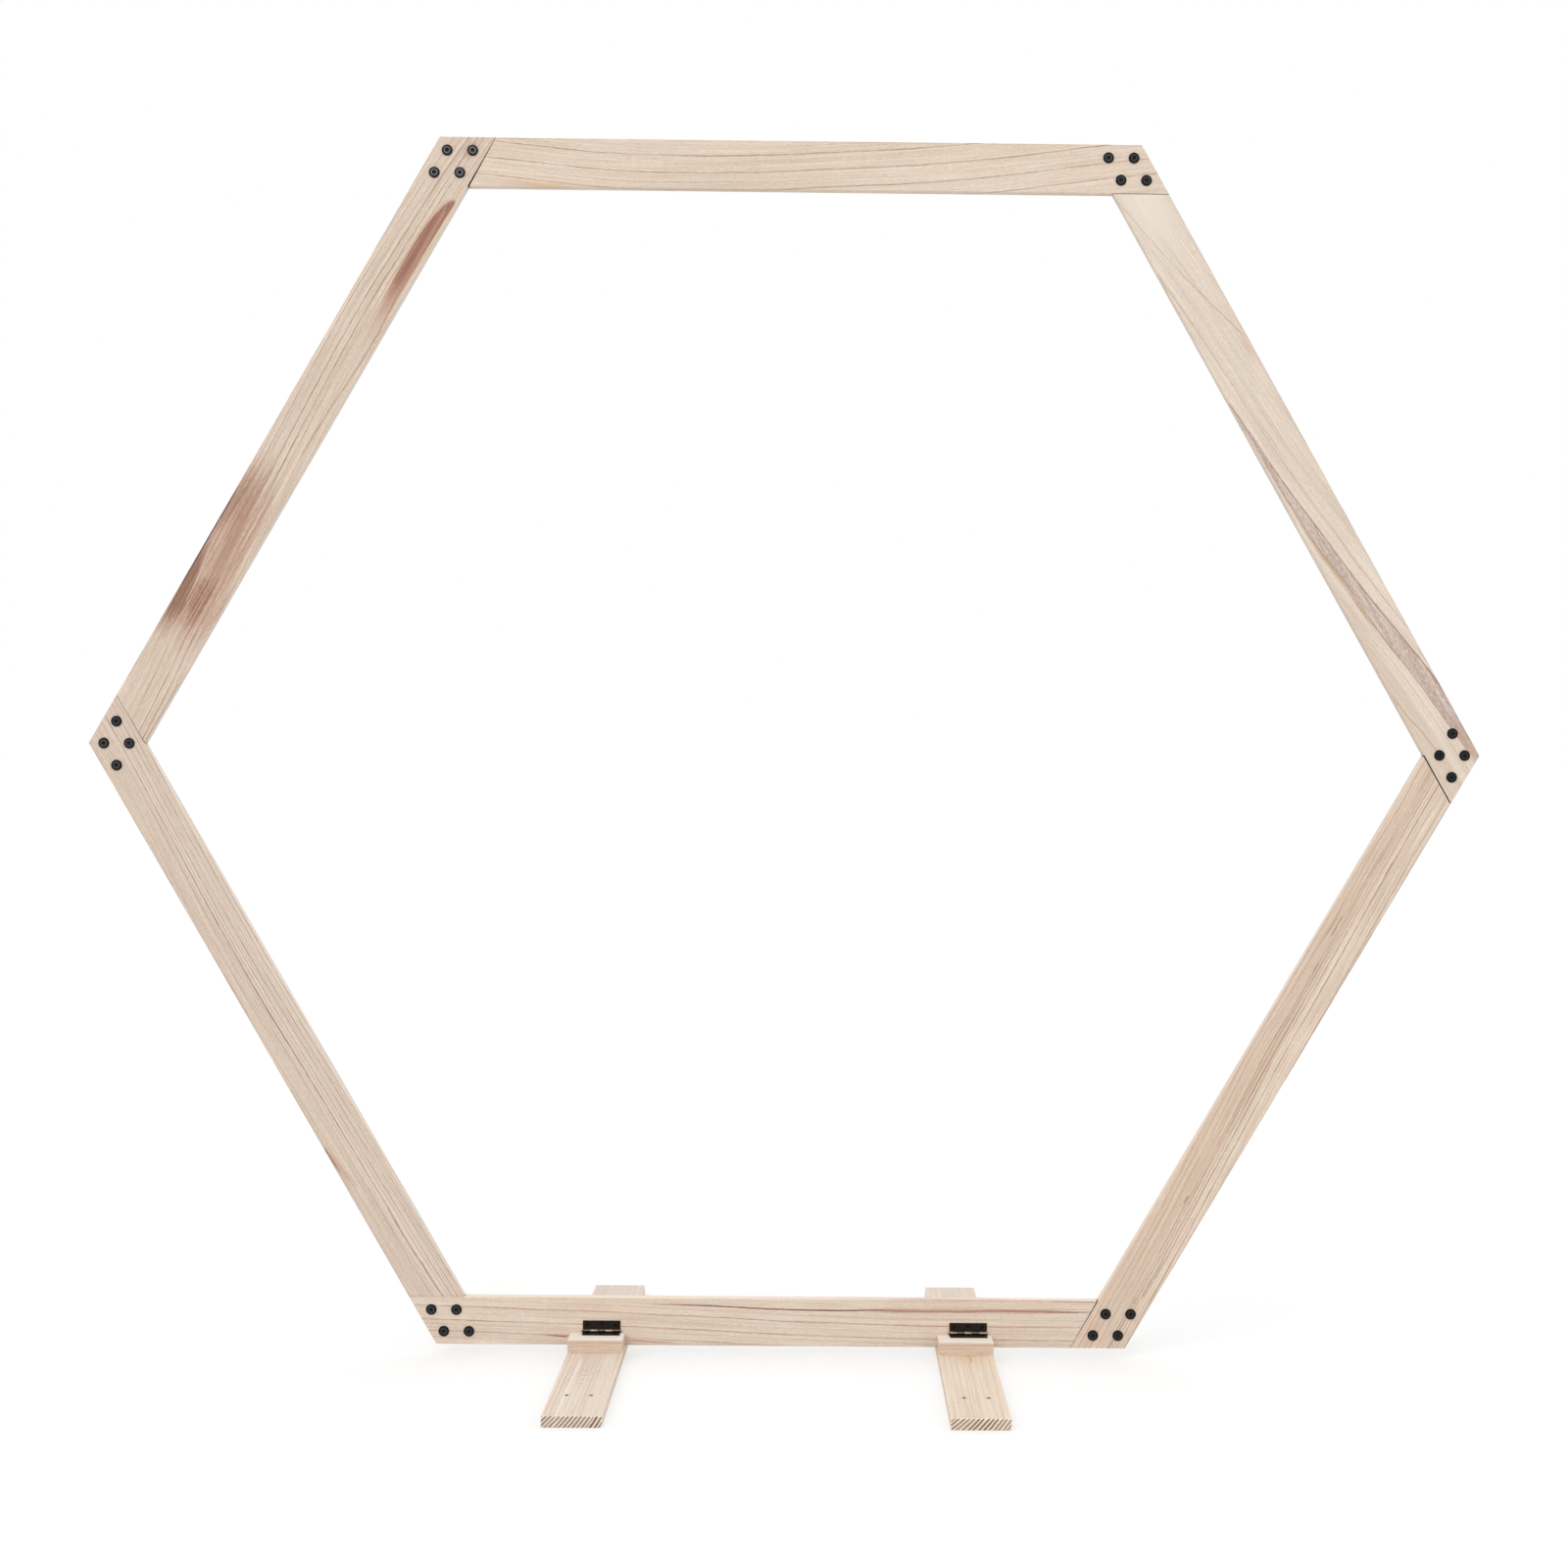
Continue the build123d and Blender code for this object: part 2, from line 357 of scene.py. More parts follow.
def ring_course(place, spot, grain):
    """How far the rings bend across a plank at each point, in millimetres.

    It is the curve of the plank's own course with long and short noise added. An eye of
    lift h at (u, v) adds h e^-(((x - u) / long)^2 + ((y - v) / wide)^2) at the point (x, y).
    """
    along, across, _ = spot
    wobble = 2.2
    course = (cloud(place, (420, 70, 60), grain["seed"]) - 0.5) * grain["wander"]
    course = course + (cloud(place, (34, 14, 14), grain["seed"] + 20, 2.0) - 0.5) * wobble
    course = course + path(along, grain["course"])
    for u, v, long, wide, lift in grain["eyes"]:
        far, off = (along - u) / long, (across - v) / wide
        course = course + bell(far * far + off * off) * lift
    return course


def fine_rings(place, radius, grain):
    """Thin brown rings at nearly even distances, each of its own strength.

    They come with the number of the ring at a point, the share of the ring's width that
    lies inside the point, and the stretches where rings are broken.
    """
    seed = grain["seed"]
    ring = radius / grain["ring"]
    ring = ring + (waver(ring, 1.7, seed) - 0.5) * grain["uneven"]
    share = work_out(place.tree, "FRACT", ring)
    broken = rise(cloud(place, (120, 6, 6), seed + 1), 0.3, 0.6)
    dashes = rise(cloud(place, (13, 2.5, 4), seed + 21, 1.0), 0.3, 0.6)
    line = larger((1 - share) ** 9.0 * 0.5, share ** 22.0)
    line = line * (0.15 + 0.85 * lot(ring, seed)) * (0.25 + 0.75 * broken) * grain["fine"] * 0.8
    return line, ring, share, broken, dashes


def drawn_rings(radius, line, broken, dashes, grain):
    """The rings that are drawn where they cross the plank's face, added to the fine ones.

    A ring that crosses the face at the height v lies at the pith's distance from there.
    The wood close to it is brighter, and its share comes with the lines.
    """
    beside, below = grain["pith"]
    bright = line * 0
    for level, strength in grain["rings"]:
        off = radius - hypot(level - beside, grain["face"] - below)
        sharp = rise(abs(off), grain["thick"], 0.4)
        early = rise(off, -9.0, 0.0) * rise(off, 0.8, 0.0) * grain["early"]
        line = larger(line, (sharp + early) * strength * (0.5 + 0.4 * broken))
        bright = larger(bright, rise(abs(off), 4.4, 1.8) * strength)
    return line * (0.65 + 0.35 * dashes), bright


def knot_arcs(spot, course, line, broken, grain):
    """Arcs that open to one side of a small knot, three to each length, added to the rings."""
    along, across, _ = spot
    for u, v, long, wide, reach in grain["figures"]:
        far, off = (along - u) / long, (across - course * 0.6 - v) / wide
        away = distance(far, off)
        arc = rise(abs(work_out(along.tree, "FRACT", away * 3.0) - 0.5), 0.3, 0.06)
        near = rise(away, 0.45, 0.6) * rise(away, reach, reach * 0.4)
        seen = near * rise(far + off * 0.5, 0.1, -0.6)
        line = larger(line, arc * seen * (0.6 + 0.4 * broken) * 0.5)
    return line


def planed_colour(place, drawn, line, bright, grain):
    """The colour of the planed wood, with its fibres, flecks and pores.

    drawn is the place with its height taken from the pith, so that the fibres, strands
    and pores follow the rings. The fibres and flecks come with the colour.
    """
    seed = grain["seed"]
    specks = 0.07
    fibre = cloud(drawn, (150, 1.3, 6), seed + 2, 4.0, 0.65)
    strand = cloud(drawn, (420, 7, 26), seed + 3, 2.0)
    pores = rise(cloud(drawn, (11, 0.42, 0.5), seed + 4, 1.0), 0.6, 0.74)
    fleck = cloud(place, (8, 1.8, 2.4), seed + 5, 2.0, 0.6) - 0.5
    speck = rise(cloud(place, (3.4, 1.9, 2.2), seed + 8, 1.0), 0.36, 0.66) - 0.5
    blotch = rise(cloud(place, (70, 24, 26), seed + 7, 2.0), 0.35, 0.7)
    tone = rise(cloud(place, (310, 42, 26), seed + 6, 2.0), 0.3, 0.7)

    colour = mixed(tone * 0.7 + strand * 0.3, paint(*grain["pale"]), paint(*grain["warm"]))
    colour = mixed(blotch * grain["blotches"], colour, paint(*grain["flush"]))
    colour = shaded(colour, rise(fibre, 0.34, 0.68) - 0.5, grain["fibres"])
    colour = shaded(colour, rise(strand, 0.4, 0.65) - 0.5, 0.06)
    colour = shaded(colour, fleck, grain["flecks"])
    colour = shaded(colour, speck, specks)
    colour = shaded(colour, bright * (1 - line), -grain["bright"])
    colour = mixed(line, colour, paint(*grain["line"]))
    colour = shaded(colour, pores * (0.35 + 0.65 * line), 0.25)
    return colour, fibre, fleck, pores


def stained(colour, place, fibre, fleck, grain):
    """The colour with each streak of heartwood laid over it, uneven with fibres and flecks."""
    for number, stain in enumerate(grain["stains"]):
        share = stain_share(place, stain, grain["seed"] + 10 + number)
        share = share * (0.72 + 0.5 * rise(fibre, 0.3, 0.7)) * (1 + fleck * stain["flecked"])
        share = larger(work_out(place.tree, "MINIMUM", share, 1.0), 0.0)
        colour = mixed(share, colour, paint(*stain["colour"]))
    return colour


def end_grained(colour, end, ring, share, fibre, grain):
    """The colour with the rings seen as stripes where end is 1, on the plank's ends."""
    stripe = rise(abs(share - 0.5), 0.3, 0.12) * (0.55 + 0.45 * lot(ring, grain["seed"]))
    colour = shaded(colour, end * (0.35 + 0.5 * rise(fibre, 0.3, 0.7)), 0.2)
    colour = shaded(colour, end * (1 - stripe), -grain["end_light"])
    return mixed(end * stripe * grain["end_lines"], colour, paint(*grain["end_line"]))


def lap_shadows(colour, place, spot, endwise, edgewise, grain):
    """The colour with painted shade in blotches along the outer edge, and painted shadow on
    the laps' inner walls.

    A shoulder's wall lies where |x| + y / sqrt(3) is the shoulder's distance. The walls and
    the lapped edge behind a seam are painted dark, as shadow, below the board's two faces.
    """
    along, across, through = spot
    face, dark, outer_edge_shade_depth = grain["face"], 0.93, 0.22
    outer_edge_shade = rise(across, -2.8, -0.8) * rise(cloud(place, (45, 6, 6), grain["seed"] + 9, 2.0), 0.3, 0.6)
    # Painted shade: the faces darker in blotches along the outer edge
    colour = shaded(colour, outer_edge_shade * (1 - edgewise), outer_edge_shade_depth)
    from_shoulder = abs(abs(along) + across * sqrt(1 / 3) - grain["shoulder"])
    walls = rise(from_shoulder, 5, 3) * larger(rise(endwise, 0.5, 0.7), rise(abs(through), 1.0, 0.5))
    past_corner = rise(abs(along), grain["inner_corner"], grain["inner_corner"] + 1)
    lapped_edge = past_corner * rise(across, 1 - board_width, 0.4 - board_width)
    # Painted shadow on the shoulders' walls and on the lapped edge behind each seam
    return shaded(colour, larger(walls, lapped_edge) * rise(abs(through), face - 0.3, face - 1.3), dark)


def wood(name, turn, origin, own_grain):
    """Planed pale hardwood of a fast-grown tree, cut from one solid pattern of rings.

    The rings are cylinders about a pith line beside the plank, and their course bends along
    it. Some rings are drawn where they cross the plank's face, thin and brown, among finer
    ones at an even distance. Fibres, pores and flecks follow the same course.
    """
    grain = usual_grain | own_grain
    material, tree, shader = blank_material(name)
    place, (endwise, edgewise, faceward) = plank_place(tree, turn, origin)
    spot = split(place)
    along, across, through = spot
    course = ring_course(place, spot, grain)
    beside, below = grain["pith"]
    radius = distance(across - course - beside, through - below)

    line, ring, share, broken, dashes = fine_rings(place, radius, grain)
    line, bright = drawn_rings(radius, line, broken, dashes, grain)
    line = knot_arcs(spot, course, line, broken, grain)
    drawn = joined(tree, along, radius, through)
    colour, fibre, fleck, pores = planed_colour(place, drawn, line, bright, grain)
    colour = stained(colour, place, fibre, fleck, grain)
    end = rise(endwise, 0.55, 0.8)
    colour = end_grained(colour, end, ring, share, fibre, grain)
    # Painted highlight on the broken edges, where the face turns
    arris_highlight = rise(larger(larger(endwise, edgewise), faceward), 0.8, 0.72)
    colour = shaded(colour, arris_highlight, -grain["arris_highlight"])
    # Painted light: the edge faces go part of the way to a paler colour
    if "edge" in grain:
        colour = mixed(rise(edgewise, 0.8, 0.95) * grain["edge_light_share"], colour, paint(*grain["edge"]))
    if "shoulder" in grain:
        colour = lap_shadows(colour, place, spot, endwise, edgewise, grain)
    # Painted shade: dark over each hole and over a ring up to 1.2 mm round it
    for u, v, bore in grain["holes"]:
        rim = distance(abs(along) - u, abs(across) - v)
        colour = shaded(colour, rise(rim, bore + 1.2, bore + 0.5), 0.93)

    feed(tree, shader.inputs["Base Color"], colour)
    feed(tree, shader.inputs["Roughness"], 0.5 + fibre * 0.2 + end * 0.15)
    shader.inputs["Specular IOR Level"].default_value = 0.35
    roughened(tree, shader, fibre * 0.5 - pores * 0.6 - line * 0.35, 0.00015)
    return material


def around_y(degrees):
    """A turn about Y."""
    return Matrix.Rotation(radians(degrees), 3, "Y")


# The boards' grain. u runs along a board from its middle, clockwise as the arch is seen from
# the front, and v across it, from 0 at its outer edge to less at its inner edge. A ring is
# where it crosses v at u = 0 and how strong it is, an eye is u, v, long, wide and lift, and
# all are in millimetres.
boards_grain = {}
boards_grain["top"] = dict(
    seed=1, edge_light_share=0.2, pith=(150, 80), wander=2, ring=13.0, fine=0.3,
    course=[(-600, 29), (-480, 21), (-380, 11), (-290, 3), (-200, 0), (-50, 1.5), (60, 7.5), (190, 15),
            (300, 25), (376, 34), (450, 44), (600, 62)],
    rings=[(-25, 0.88), (-51, 0.88), (-78.5, 0.8), (-103, 0.75), (-38, 0.2), (-66, 0.2)], early=0.1,
    thick=1.35, pale=(230, 213, 196), warm=(223, 204, 184), flush=(224, 202, 182), line=(166, 132, 100),
    stains=[
        # A warm smear that runs out at the inner edge
        streak((-470, -330, 60, 30), (216, 178, 142), 0.6, middle=[(-500, -60), (-390, -73), (-330, -77)],
               half=5, soft=5),
    ],
)
boards_grain["upper_right"] = dict(
    seed=2, edge_light_share=0.2, pith=(-330, 90), wander=5, ring=17, fine=0.1, flecks=0.35,
    course=[(-600, -4), (-400, 12), (-327, 20), (-164, 34), (-53, 42), (24, 50), (80, 57), (128, 64),
            (176, 69), (228, 77), (287, 86), (324, 95), (384, 106), (450, 113), (600, 128)],
    rings=[(-93, 0.5), (-60, 0.15), (-76, 0.1), (-150, 0.25), (-176, 0.25)], pale=(230, 216, 200),
    warm=(223, 206, 189), flush=(226, 207, 190), fibres=0.24, line=(178, 148, 118),
    stains=[
        # The long grey streak, with a dark line along each side
        streak((-160, 560, 90, 60), (184, 160, 152), 0.8,
               lower=[(-160, -78), (58, -69), (124, -65), (199, -53), (302, -43), (384, -30), (465, -20),
                      (560, -8)],
               upper=[(-160, -76), (-53, -68), (24, -60), (128, -46), (228, -33), (324, -15), (400, -2),
                      (460, 4)], soft=1.6, ragged=4, tongue=16, bands=0.4, flecked=3.4),
        streak((-160, 460, 60, 40), (150, 122, 110), 0.75,
               middle=[(-160, -78), (-53, -68), (24, -60.5), (128, -46), (228, -33), (324, -15), (400, -2),
                       (460, 4)], half=0.9, soft=0.9, ragged=2.4, tongue=30),
        streak((-60, 560, 80, 40), (168, 130, 104), 0.7,
               middle=[(-60, -74), (58, -69), (124, -65), (199, -53), (302, -43), (384, -30), (465, -20),
                       (560, -8)], half=0.9, soft=0.8, ragged=2.4, tongue=30),
        # A brown band along the streak's inner side
        streak((70, 330, 90, 70), (182, 148, 118), 0.7,
               middle=[(60, -70), (124, -67.5), (199, -56), (302, -45.5), (340, -40)], half=2.4, soft=2.2,
               ragged=4),
        # A thin line near the lower end, and one that crosses the upper end
        streak((380, 547, 30, 30), (176, 134, 102), 0.8,
               middle=[(380, -74), (432, -70), (461, -63), (487, -58), (547, -47.5)], half=0.9, soft=0.9,
               ragged=2),
        streak((-505, -200, 20, 10), (172, 144, 120), 0.6,
               middle=[(-500, -77), (-430, -62), (-367, -48), (-280, -24), (-208, -2)], half=0.7, soft=0.7,
               ragged=3, tongue=24),
        # Warm smears at the outer edge
        streak((-225, -160, 30, 40), (214, 184, 162), 0.6, middle=[(-260, -8), (-120, -7)], half=5, soft=5,
               ragged=7),
        streak((450, 570, 60, 20), (192, 158, 134), 0.6, middle=[(430, -8), (570, -4)], half=6, soft=5,
               ragged=6),
        # Paler wood towards the upper end, and warmer wood along the inner edge
        streak((-640, -330, 40, 160), (240, 228, 214), 0.75, middle=[(-600, -38), (-300, -38)], half=30,
               soft=20, ragged=8),
        streak((150, 640, 120, 40), (210, 188, 168), 0.5, lower=[(180, -90), (600, -90)],
               upper=[(180, -66), (300, -60), (600, -40)], soft=6, ragged=5),
    ],
)
boards_grain["lower_right"] = dict(
    seed=3, pith=(260, 110), wander=3, ring=5.6, fine=1.0, fibres=0.32,
    course=[(-600, -1), (-400, 0), (-250, 3), (-90, 7), (18, 8), (117, 13), (191, 16), (265, 19.5),
            (339, 23), (450, 27), (600, 31)],
    eyes=[(-205, -58, 40, 9, 5), (60, -66, 130, 14, -5), (-420, -60, 70, 14, 5)],
    rings=[(-9, 0.5), (-31.6, 0.7), (-42, 0.6), (-47, 0.45), (-52.5, 0.75), (-56.5, 0.7), (-71, 0.5),
           (-80, 0.6), (-88, 0.5), (-97, 0.5), (-21, 0.3), (-63, 0.3)], pale=(230, 213, 196),
    warm=(224, 203, 183), flush=(220, 196, 176), line=(144, 108, 82),
    stains=[
        # Warmer wood along the inner half
        streak((-640, 640, 60, 60), (210, 181, 158), 0.42, lower=[(-600, -90), (600, -90)],
               upper=[(-600, -36), (-250, -38), (100, -34), (600, -28)], soft=5, ragged=5, bands=0.35),
        # A thin dark line along the middle
        streak((-95, 142, 50, 30), (150, 114, 92), 0.6, middle=[(-100, -39.4), (18, -36.5), (139, -34)],
               half=0.7, soft=0.7, ragged=1.6),
        # Small dark flaws
        streak((-228, -180, 14, 12), (150, 110, 84), 0.8, middle=[(-300, -54), (-100, -56)], half=0.7,
               soft=0.8, ragged=6, tongue=10),
        streak((-142, -120, 6, 6), (150, 112, 88), 0.8, middle=[(-150, -49.6), (-110, -49.6)], half=0.5,
               soft=0.7, ragged=1, fray=10),
        streak((286, 304, 6, 6), (128, 88, 66), 0.9, middle=[(280, -37.4), (310, -37.4)], half=0.6,
               soft=0.7, ragged=1, fray=10),
        streak((380, 472, 30, 10), (146, 108, 88), 0.7, middle=[(340, -18.4), (480, -17)], half=0.8,
               soft=0.8, ragged=2),
        streak((-340, -306, 8, 8), (168, 136, 112), 0.6, middle=[(-345, -31), (-300, -31)], half=0.6,
               soft=0.7, ragged=1.6, fray=10),
    ],
)
boards_grain["bottom"] = dict(
    seed=4, pith=(260, 90), wander=3, ring=9.0, fine=0.35,
    course=[(-600, 1), (-400, 0), (-230, -1), (-150, -3), (-70, -5.5), (18, -8), (117, -13), (191, -16),
            (300, -21), (400, -24), (600, -30)],
    rings=[(-11.5, 0.75), (-33, 0.75), (-75.5, 0.8), (-22, 0.2), (-44, 0.3), (7, 0.6), (17, 0.4),
           (-4, 0.3)], pale=(228, 212, 195), warm=(221, 202, 183), flush=(221, 198, 179),
    line=(166, 130, 102),
    stains=[
        # The dark line along the inner side, and the soft brown band round it
        streak((-510, 240, 40, 120), (134, 92, 76), 0.85,
               middle=[(-500, -57), (-438, -56.4), (-341, -58), (-297, -56.5), (-219, -56), (-149, -57.5),
                       (-97, -56.8), (18, -58.4), (80, -61.5), (117, -63.2), (180, -64.5), (240, -66)],
               half=1.1, soft=0.9, ragged=3, tongue=40),
        streak((-150, 140, 60, 60), (128, 88, 74), 0.6,
               middle=[(-160, -57.5), (-97, -56.8), (18, -58.4), (80, -61.5), (117, -63.2), (180, -64)],
               half=0.6, soft=0.7, ragged=2, tongue=40),
        streak((-480, -120, 60, 70), (178, 136, 112), 0.75, middle=[(-440, -58), (-219, -57), (-120, -58)],
               half=3.0, soft=2.4, ragged=4),
        # Shorter brown lines
        streak((-400, -160, 60, 60), (176, 136, 112), 0.6, middle=[(-600, -75), (-100, -76)], half=0.9,
               soft=0.8, ragged=1.6),
        streak((335, 400, 10, 40), (150, 100, 84), 0.85, middle=[(330, -11), (394, -15), (517, -21)],
               half=0.9, soft=0.9, ragged=1.6, fray=20),
        streak((165, 250, 20, 20), (196, 150, 124), 0.7, middle=[(160, -2), (250, -7)], half=1.2, soft=1.2,
               ragged=2),
    ],
)
boards_grain["lower_left"] = dict(
    seed=5, pith=(300, 90), wander=3, ring=4.8, fine=0.4,
    course=[(-600, -13), (-490, -9), (-412, -6), (-312, -3.5), (-200, 0), (-100, 2.4), (18, 6), (80, 7.3),
            (150, 7.5), (228, 7), (302, 5.5), (413, 2.5), (498, -1), (600, -4)],
    eyes=[(430, -10, 150, 26, -9), (-420, -34, 150, 12, 6)],
    rings=[(-40, 1.0), (-46, 0.35), (-51, 0.85), (-55, 0.4), (-59, 0.9), (-63, 0.4), (-67, 0.9), (-71, 0.4),
           (-75, 0.85), (-82, 0.8), (-30, 0.35), (-21, 0.25), (-9, 0.25)], early=0.0, bright=0.11,
    pale=(216, 198, 181), warm=(214, 194, 176), flush=(215, 191, 173), blotches=0.2, fibres=0.26,
    line=(120, 88, 66),
    stains=[
        # Paler wood along the inner half
        streak((-640, 640, 20, 20), (238, 221, 205), 0.28, lower=[(-600, -90), (600, -90)],
               upper=[(-600, -36), (600, -36)], soft=6, ragged=4, streaked=0.0),
        # A warm smear at the outer edge, and the dark line in it
        streak((-275, -185, 30, 25), (204, 168, 144), 0.75,
               middle=[(-300, -12), (-245, -9), (-197, -3), (-180, -1)], half=3.6, soft=3, ragged=5),
        streak((-245, -190, 20, 10), (150, 100, 76), 0.9, middle=[(-260, -5), (-210, -1.5), (-180, -1)],
               half=1.0, soft=1.0, ragged=1.6),
    ],
)
boards_grain["upper_left"] = dict(
    seed=6, pith=(-320, 90), wander=3, ring=4.6, fine=0.8, thick=1.1,
    course=[(-600, -18), (-497, -14), (-412, -10), (-341, -4.5), (-290, -1), (-201, 3.5), (-90, 9),
            (18, 14), (124, 17.7), (265, 20), (376, 17), (498, 11), (600, 2)],
    rings=[(-26, 0.55), (-45, 0.8), (-56, 0.8), (-64, 0.55), (-36, 0.25), (-76, 0.35), (-90, 0.3)],
    pale=(225, 207, 190), warm=(217, 197, 177), flush=(218, 195, 176), line=(146, 110, 86), fibres=0.24,
    stains=[
        # The large dark patch: its ground, then its darker parts from the lowest up
        streak((-372, 0, 90, 110), (188, 150, 130), 0.85,
               lower=[(-420, -90), (-300, -84), (-200, -66), (-60, -58), (0, -44)],
               upper=[(-360, 8), (0, 8)], soft=6, ragged=10, bands=0.3, streaked=0.9, flecked=1.4),
        streak((-352, -165, 66, 60), (146, 108, 86), 0.88,
               lower=[(-340, -20), (-275, -20), (-200, -10), (-160, -8)], upper=[(-340, 8), (-160, 8)],
               soft=1.8, ragged=5),
        streak((-328, -200, 50, 60), (156, 108, 88), 0.9,
               lower=[(-320, -50), (-238, -49), (-150, -42), (-100, -40)],
               upper=[(-320, -18), (-260, -20), (-210, -27), (-100, -22)], soft=3, ragged=8, bands=0.35,
               streaked=0.9, flecked=1.4),
        streak((-235, -125, 40, 50), (178, 142, 118), 0.7, lower=[(-240, -46), (-120, -42)],
               upper=[(-240, -28), (-120, -25)], soft=3, ragged=6, bands=0.5),
        streak((-180, 10, 70, 110), (168, 128, 110), 0.9, lower=[(-180, -42), (0, -30)],
               upper=[(-180, 0), (0, 2)], soft=4, ragged=7, bands=0.5, streaked=1.0, flecked=1.4),
        # A pale line through the patch, and a dark line beside it at the outer edge
        streak((-290, -165, 30, 40), (222, 200, 182), 0.7,
               middle=[(-290, -20), (-238, -17), (-195, -11), (-160, -7)], half=0.8, soft=0.8, ragged=2),
        streak((-275, -60, 40, 60), (104, 74, 66), 0.85, middle=[(-300, 0), (-60, 0)], half=1.4, soft=1.0,
               ragged=1),
        # A thin line near the inner edge
        streak((-520, -365, 20, 40), (178, 144, 124), 0.6, middle=[(-560, -74), (-360, -75)], half=0.9,
               soft=1.0, ragged=1.6),
        # The tapering streak near the top left corner: its ground, its dark part, its tip
        streak((190, 478, 130, 10), (204, 168, 142), 0.8,
               lower=[(200, -70), (300, -70), (400, -71), (450, -71)],
               upper=[(200, -52), (284, -48), (356, -45), (430, -49), (476, -60)], soft=3, ragged=4),
        streak((240, 480, 120, 8), (158, 110, 92), 0.92,
               lower=[(250, -69), (300, -68), (356, -67), (400, -69), (450, -71)],
               upper=[(250, -56), (300, -50), (356, -47), (420, -50), (455, -57), (480, -66)], soft=1.2,
               ragged=2.5, streaked=0.6, fray=20),
        streak((450, 474, 8, 8), (124, 86, 68), 0.8, middle=[(430, -66), (480, -64)], half=0.9, soft=0.8,
               ragged=4, tongue=12, fray=8),
        # A brown line along the inner edge, and a small smear at the upper end
        streak((-20, 450, 60, 20), (172, 130, 100), 0.7,
               middle=[(0, -62), (80, -63.5), (228, -69.5), (287, -67), (339, -68), (447, -69.5)], half=0.9,
               soft=0.9, ragged=3, tongue=16),
        streak((538, 572, 14, 14), (198, 152, 128), 0.7, middle=[(530, -50), (580, -50)], half=7, soft=4,
               ragged=6),
    ],
)

shared_board_grain = dict(
    face=board_thickness / 2,
    shoulder=side / 2 - 2 * slant_run,
    inner_corner=side / 2 - slant_run,
    # Painted light on the boards' edge faces: the paler colour and its share
    edge=(243, 231, 217),
    edge_light_share=0.5,
    end_line=(160, 128, 102),
)
upright = Matrix(((1, 0, 0), (0, 0, 1), (0, -1, 0)))
for step, name in enumerate(boards):
    turn = upright @ around_y(-60 * step)
    middle = around_y(60 * step) @ Vector((0, 0, apothem))
    origin = Vector((0, 0, hexagon_height)) + middle
    grain = shared_board_grain | boards_grain[name]
    coat(f"board_{name}", wood(f"planed {name} board", turn, origin, grain))

# The feet's grain. u runs along a foot to its rear, and v across it to its left. A hole is
# u, v and its radius, on both sides of the middle each way, and a figure is u, v, long, wide
# and its reach.
shared_foot_grain = dict(
    face=foot_thickness / 2, holes=[(295, 18, 2.5)], fibres=0.12, early=0.05, end_lines=1.0, arris_highlight=0.3,
)
# Painted shade: the feet greyer towards their rear ends
painted_rear_shade = streak(
    (180, 640, 140, 40), (208, 197, 186), 0.5, middle=[(0, 0), (600, 0)], half=60, soft=10,
)
feet_grain = {}
feet_grain["left"] = dict(
    seed=7, pith=(150, 118), wander=1.5, ring=4.9, uneven=0.35, fine=0.1,
    course=[(-600, 3), (-300, 0), (-150, -2), (600, -6)], figures=[(-110, 5, 67, 11, 2.6)],
    rings=[(38, 0.5), (31, 0.6), (25, 0.5), (19, 0.35), (12, 0.3), (-2, 0.3), (-9, 0.5), (-14, 0.35),
           (-36, 0.3)],
    pale=(228, 215, 199), warm=(222, 205, 188), flush=(224, 204, 188), line=(192, 166, 144),
    end_line=(112, 84, 66), end_light=0.2,
    stains=[
        # A pinkish smear in front of the block
        streak((-190, -50, 50, 10), (216, 188, 172), 0.6, soft=3, ragged=4, bands=0.3,
               lower=[(-200, 6), (-150, -6), (-50, -8)], upper=[(-200, 12), (-150, 17), (-50, 18)]),
        # A pale line along the foot
        streak((-420, -70, 10, 40), (240, 228, 214), 0.8, middle=[(-420, 24), (-60, 17)], half=1.6,
               soft=1.4, ragged=1.4),
        painted_rear_shade,
    ],
)
feet_grain["right"] = dict(
    seed=8, pith=(140, 130), wander=2, ring=5.2, uneven=0.45, fine=0.12,
    course=[(-600, 2), (600, -2)],
    rings=[(17, 0.4), (8, 0.5), (3, 0.5), (-1, 0.45), (-4, 0.4), (-14, 0.3), (-34, 0.5), (27, 0.35),
           (36, 0.35)],
    pale=(231, 216, 198), warm=(225, 206, 186), flush=(226, 204, 186), line=(192, 164, 136),
    end_line=(104, 70, 46), end_light=0.225,
    stains=[
        # A short brown line in front of the block, and the warm wood round it
        streak((-112, -55, 12, 8), (150, 110, 78), 0.85, middle=[(-110, -3), (-85, -4.5), (-55, -3)],
               half=0.9, soft=0.8, ragged=1.4, fray=8),
        streak((-140, -40, 60, 5), (222, 192, 158), 0.55, middle=[(-130, -2), (-50, -2)], half=22,
               soft=18, ragged=12),
        painted_rear_shade,
    ],
)
